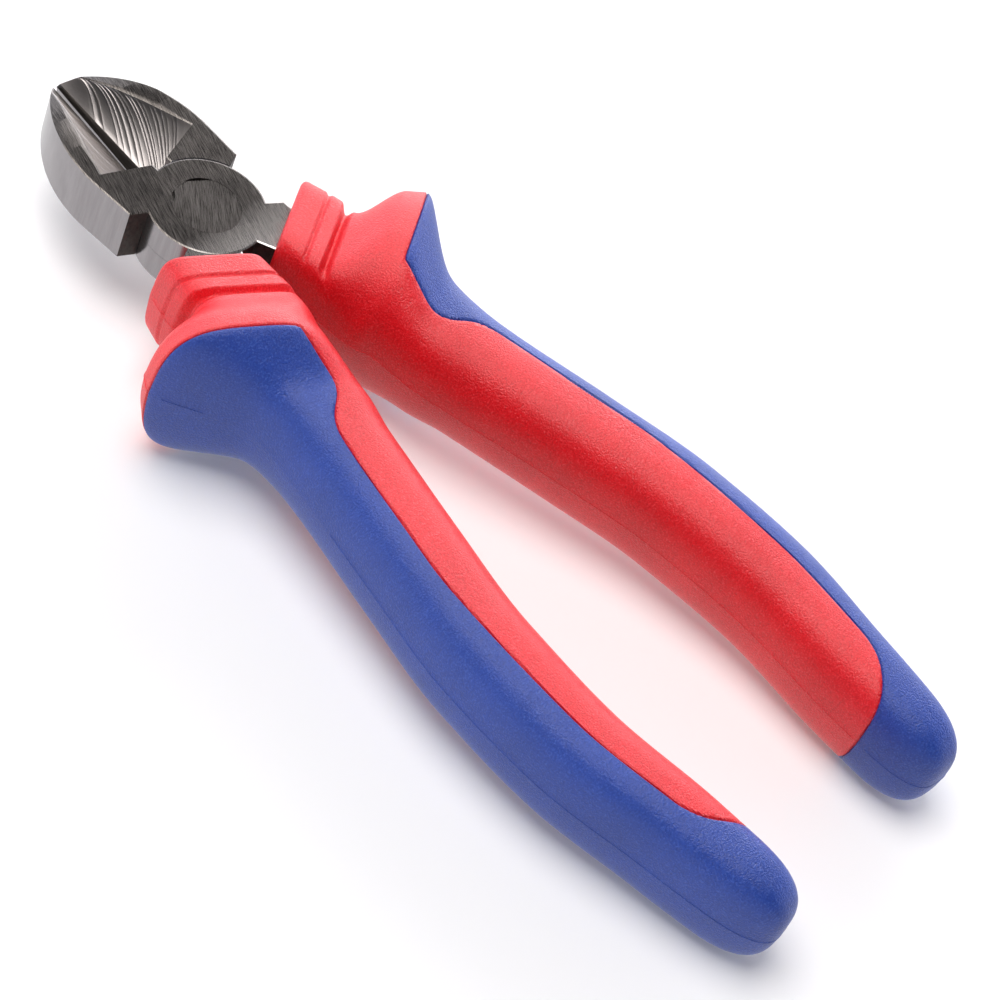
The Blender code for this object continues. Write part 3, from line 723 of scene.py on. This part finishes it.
def parting_lines(word, side, rows, back, tree, hard, soft):
    """The fine flash where the mould's halves met: one piece on the hard body, one on the soft cover."""
    inner, outer = rows[:, 0], rows[:, GRIP_COLUMNS // 2]
    # The lines stop short of the collar's front and of the seam, and are worn away behind the guard
    front, seam_start, seam_end, beside_guard = GRIP_FRONT + 1.5, 117.5, 119.3, 0.8
    worn_start, worn_end = GUARD + 4, GUARD + 22
    red = [inner[(back > front) & (back < seam_start)],
           outer[(back > front) & (back < GUARD - beside_guard)]]
    blue = [np.concatenate([inner[back > seam_end], outer[back > worn_end][::-1]]),
            outer[(back > GUARD + beside_guard) & (back < worn_start)]]
    pieces = []
    for name, lines, surface in (("red", red, hard), ("blue", blue, soft)):
        verts = mirrored(np.concatenate(lines), side)
        ends = np.cumsum([len(line) for line in lines])
        edges = [(i, i + 1) for i in range(len(verts) - 1) if i + 1 not in ends]
        piece = add_mesh("visual_parting_line_%s_%s" % (name, word), verts, [], edges)
        pieces.append(run_tree(piece, tree, bead_radius=BEAD_RADIUS * MM, bead_sides=8, material=surface))
        smooth_faces(piece, radians(60))
    return pieces


# Finishes


# Sizes in millimetres; the mouldings' grain is drawn coarser than life so that it shows
STEEL_CLOUD = 7
SCRATCH_DEPTH = 0.02
PALER_BEHIND_RIVET = (3, 11)
MOULDING_CLOUD = 9
GRAIN_SIZE = 0.27
GRAIN_DEPTH = 0.15
PALER_STEEL = "#c9c4c0"


def new_finish(name, **settings):
    """A material with its shader's fixed settings, and its tree."""
    surface = bpy.data.materials.new(name)
    surface.use_nodes = True
    shader = surface.node_tree.nodes["Principled BSDF"]
    for socket, value in settings.items():
        shader.inputs[socket.replace("_", " ")].default_value = value
    return surface, surface.node_tree, shader


def brushed_steel(name, dark, light, rough, turn, spacing, stretch, strength, paler_share=0.0):
    """Tool steel with straight grinding marks that catch the light, and paler towards the grips.

    The spacing of the marks is in millimetres, and they are stretch times as long as they are wide.
    """
    surface, tree, shader = new_finish(name, Metallic=1.0)
    place = add_node(tree, "ShaderNodeTexCoord").outputs["Object"]
    length = stretch * spacing
    lines = add_node(tree, "ShaderNodeMapping", {"Vector": place, "Rotation": (0, 0, turn),
                                                 "Scale": (spacing * MM, length * MM, length * MM)},
                     vector_type="TEXTURE").outputs[0]
    scratch = noise(tree, lines, 1.0, 3.0, 0.7)
    cloud = noise(tree, place, 1 / (STEEL_CLOUD * MM), 2.0)
    uneven = worked(tree, "MULTIPLY_ADD", cloud, 0.2, scratch)
    colour = blended(tree, ranged(tree, uneven, 0.45, 0.78), linear(dark), linear(light))
    if paler_share:
        along = add_node(tree, "ShaderNodeSeparateXYZ", {0: place}).outputs["Y"]
        start, full = [(PIVOT[1] - behind) * MM for behind in PALER_BEHIND_RIVET]
        colour = blended(tree, ranged(tree, along, start, full, 0.0, paler_share), colour, linear(PALER_STEEL))
    tree.links.new(colour, shader.inputs["Base Color"])
    gloss = ranged(tree, scratch, 0.3, 0.75, rough - 0.2 * strength, rough + 0.3 * strength)
    tree.links.new(gloss, shader.inputs["Roughness"])
    bump = add_node(tree, "ShaderNodeBump", {"Height": scratch, "Strength": strength,
                                             "Distance": SCRATCH_DEPTH * MM})
    tree.links.new(bump.outputs[0], shader.inputs["Normal"])
    return surface


def grained_moulding(name, base, deep, pale, rough, gloss):
    """A moulding from a spark-eroded mould: matt, with fine grain whose pale specks are painted glints, a
    little uneven in tone.
    """
    surface, tree, shader = new_finish(name, Roughness=rough, IOR=1.5, Specular_IOR_Level=gloss)
    place = add_node(tree, "ShaderNodeTexCoord").outputs["Object"]
    pits = noise(tree, place, 1 / (GRAIN_SIZE * MM), 2.0, 0.6)
    cloud = noise(tree, place, 1 / (MOULDING_CLOUD * MM), 3.0)
    body = blended(tree, ranged(tree, pits, 0.3, 0.5), linear(deep), linear(base))
    # Pale specks on the grain's high points are painted glints
    with_painted_glints = blended(tree, ranged(tree, pits, 0.54, 0.72), body, linear(pale))
    shade = ranged(tree, cloud, 0.3, 0.7, 0.92, 1.06)
    toned = add_node(tree, "ShaderNodeVectorMath", {0: with_painted_glints, "Scale": shade}, operation="SCALE")
    tree.links.new(toned.outputs[0], shader.inputs["Base Color"])
    bump = add_node(tree, "ShaderNodeBump", {"Height": pits, "Strength": 1.0, "Distance": GRAIN_DEPTH * MM})
    tree.links.new(bump.outputs[0], shader.inputs["Normal"])
    return surface


def steel_finishes():
    """The lever's finishes, in the order that finish_steel takes them."""
    across = radians(-20)
    return (
        # Belt-ground flats are painted dark, as painted shade for the dark room that they mirror, with bright
        # hairlines along the belt's run painted in as glints
        brushed_steel("tool_steel_ground_flat", "#1b1918", "#78736f", rough=0.27, turn=across,
                      spacing=0.045, stretch=60, strength=0.3, paler_share=0.8),
        # Polished sides mirror the pale floor softly
        brushed_steel("tool_steel_polished_side", "#918d8f", "#9c989a", rough=0.22, turn=across,
                      spacing=0.25, stretch=40, strength=0.02),
        # The ground hollow is bright and clean, so that its flutes show
        brushed_steel("tool_steel_ground_hollow", "#86817f", "#938e8c", rough=0.31, turn=radians(50),
                      spacing=0.08, stretch=1.5, strength=0.02),
        # The facet beside the cutting edge is painted darker than the hollow, as painted shade for the dark
        # surroundings that it mirrors
        brushed_steel("tool_steel_edge_facet", "#4c4947", "#5c5957", rough=0.3, turn=0.0,
                      spacing=0.2, stretch=20, strength=0.1),
        # The crotch below the lap discs and the shoulders' stop faces are painted near-black and rough, as
        # painted shade where they lie in shadow
        brushed_steel("tool_steel_painted_shade", "#2e2b29", "#4a4643", rough=0.45, turn=across,
                      spacing=0.4, stretch=2, strength=0.5),
    )


def build_tool():
    """All pieces, each riding the side of the tool that it moves with."""
    finishes = steel_finishes()
    # The rivet's head was ground on its own, so its hairlines run another way; it is painted dark like the
    # flats, as painted shade for the dark room that it mirrors
    head = brushed_steel("rivet_steel_ground_flush", "#24211f", "#827d79", rough=0.28, turn=radians(-38),
                         spacing=0.045, stretch=60, strength=0.3)
    # The hard red is the shinier of the two, the soft blue is more matt
    hard = grained_moulding("red_polypropylene_spark_grain", "#e60f1e", "#d00c19", "#f0424a",
                            rough=0.36, gloss=0.62)
    soft = grained_moulding("blue_elastomer_spark_grain", "#1b3f9c", "#163689", "#385ab4",
                            rough=0.38, gloss=0.55)
    flutes = flute_tree()
    beads = bead_tree()
    rows, back = grip_grid()
    rivet_piece = rivet("visual_pivot_rivet", head)
    sides = (("upper_side", "right", 1, "lever_upper"), ("lower_side", "left", -1, "lever_lower"))
    for body, word, side, node in sides:
        steel = lever("visual_" + node, side, finishes, flutes)
        hard_shell, soft_shell = grip_shells(word, side, rows, hard, soft)
        red_line, blue_line = parting_lines(word, side, rows, back, beads, hard, soft)
        for piece, slot in ((red_line, "red_moulding"), (blue_line, "blue_soft_moulding")):
            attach(piece, body)
        for piece, stands_for, slot in ((steel, node, "ground_steel"),
                                        (hard_shell, "grip_body_" + word, "red_moulding"),
                                        (soft_shell, "grip_cover_" + word, "blue_soft_moulding")):
            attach(piece, body)
            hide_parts(stands_for)
    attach(rivet_piece, "lower_side")
    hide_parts("pivot_rivet")


# Studio


def build_camera():
    """The camera, where the photo's perspective puts it."""
    camera = bpy.data.objects.new("camera", bpy.data.cameras.new("camera"))
    right = Vector((0.63933, -0.70712, 0.30206))
    down = Vector((-0.46791, -0.66949, -0.57693))
    ahead = Vector((0.61018, 0.22751, -0.75889))
    turn = Matrix((right, -down, -ahead)).transposed().to_4x4()
    place = Vector((np.array([-236.94, -148.70, 296.48]) + PIVOT) * MM)
    camera.matrix_world = Matrix.Translation(place) @ turn
    camera.data.lens = 100.8
    camera.data.sensor_width = 36.0
    bpy.context.collection.objects.link(camera)
    bpy.context.scene.camera = camera


def build_floor():
    """A pale floor, leaning a little because the tool rests on its guards and grip ends."""
    floor = bpy.data.objects.new("floor", bpy.data.meshes.new("floor"))
    half = 3.0
    lean = radians(3.0)
    level = (PIVOT[1] - 24.0) * MM
    clearance = 0.1 * MM
    corners = [(x, y, (level - y) * tan(lean) - clearance) for x, y in
               ((-half, -half), (half, -half), (half, half), (-half, half))]
    floor.data.from_pydata(corners, [], [(0, 1, 2, 3)])
    bpy.context.collection.objects.link(floor)
    surface, tree, shader = new_finish("pale_floor", Roughness=0.9)
    shader.inputs["Base Color"].default_value = linear("#fcfcfd")
    # Near the tool the floor keeps its shadow, and further off and in reflections it turns to plain white
    rays = add_node(tree, "ShaderNodeLightPath").outputs
    place = add_node(tree, "ShaderNodeTexCoord").outputs["Object"]
    far = add_node(tree, "ShaderNodeVectorMath", {0: place}, operation="LENGTH").outputs["Value"]
    seen = worked(tree, "MULTIPLY", rays["Is Camera Ray"], ranged(tree, far, 0.15, 0.7, 0.16, 1.0))
    amount = worked(tree, "MULTIPLY_ADD", rays["Is Glossy Ray"], 0.7, seen)
    white = add_node(tree, "ShaderNodeEmission", {"Color": (1, 1, 1, 1), "Strength": 1.0})
    mixed = add_node(tree, "ShaderNodeMixShader", {0: amount, 1: shader.outputs[0], 2: white.outputs[0]})
    tree.links.new(mixed.outputs[0], tree.nodes["Material Output"].inputs["Surface"])
    floor.data.materials.append(surface)


def build_light():
    """A low white surround, a pale cove to the tool's right, and two softboxes."""
    world = bpy.data.worlds.new("studio")
    world.use_nodes = True
    tree = world.node_tree
    ray = add_node(tree, "ShaderNodeLightPath").outputs["Is Camera Ray"]
    way = add_node(tree, "ShaderNodeTexCoord").outputs["Generated"]
    height = add_node(tree, "ShaderNodeSeparateXYZ", {0: way}).outputs["Z"]
    facing = add_node(tree, "ShaderNodeVectorMath", {0: way, 1: (0.94, 0.35, 0.0)}, operation="DOT_PRODUCT")
    around = ranged(tree, height, 0.03, 0.1, 5.4, 0.08)
    side = ranged(tree, facing.outputs["Value"], -0.1, 0.5, 0.0, 2.4)
    cove = worked(tree, "MULTIPLY", ranged(tree, height, 0.35, 0.6, 1.0, 0.06), side)
    strength = worked(tree, "MAXIMUM", worked(tree, "MAXIMUM", cove, around), ray)
    background = tree.nodes["Background"]
    tree.links.new(blended(tree, ray, linear("#f2f4ff"), linear("#ffffff")), background.inputs["Color"])
    tree.links.new(strength, background.inputs["Strength"])
    bpy.context.scene.world = world

    softboxes = (("overhead_softbox", 9.3, (-0.1, 0.25, 0.93)), ("right_softbox", 4.5, (0.86, 0.42, 0.3)))
    for name, power, spot in softboxes:
        lamp = bpy.data.objects.new(name, bpy.data.lights.new(name, "AREA"))
        lamp.data.shape = "DISK"
        lamp.data.size = 0.8
        lamp.data.energy = power
        lamp.data.color = linear("#fffcfa")[:3]
        lamp.location = spot
        lamp.rotation_euler = Vector(spot).to_track_quat("Z", "Y").to_euler()
        bpy.context.collection.objects.link(lamp)
    bpy.context.scene.view_settings.view_transform = "Standard"


build_tool()
build_camera()
build_floor()
build_light()
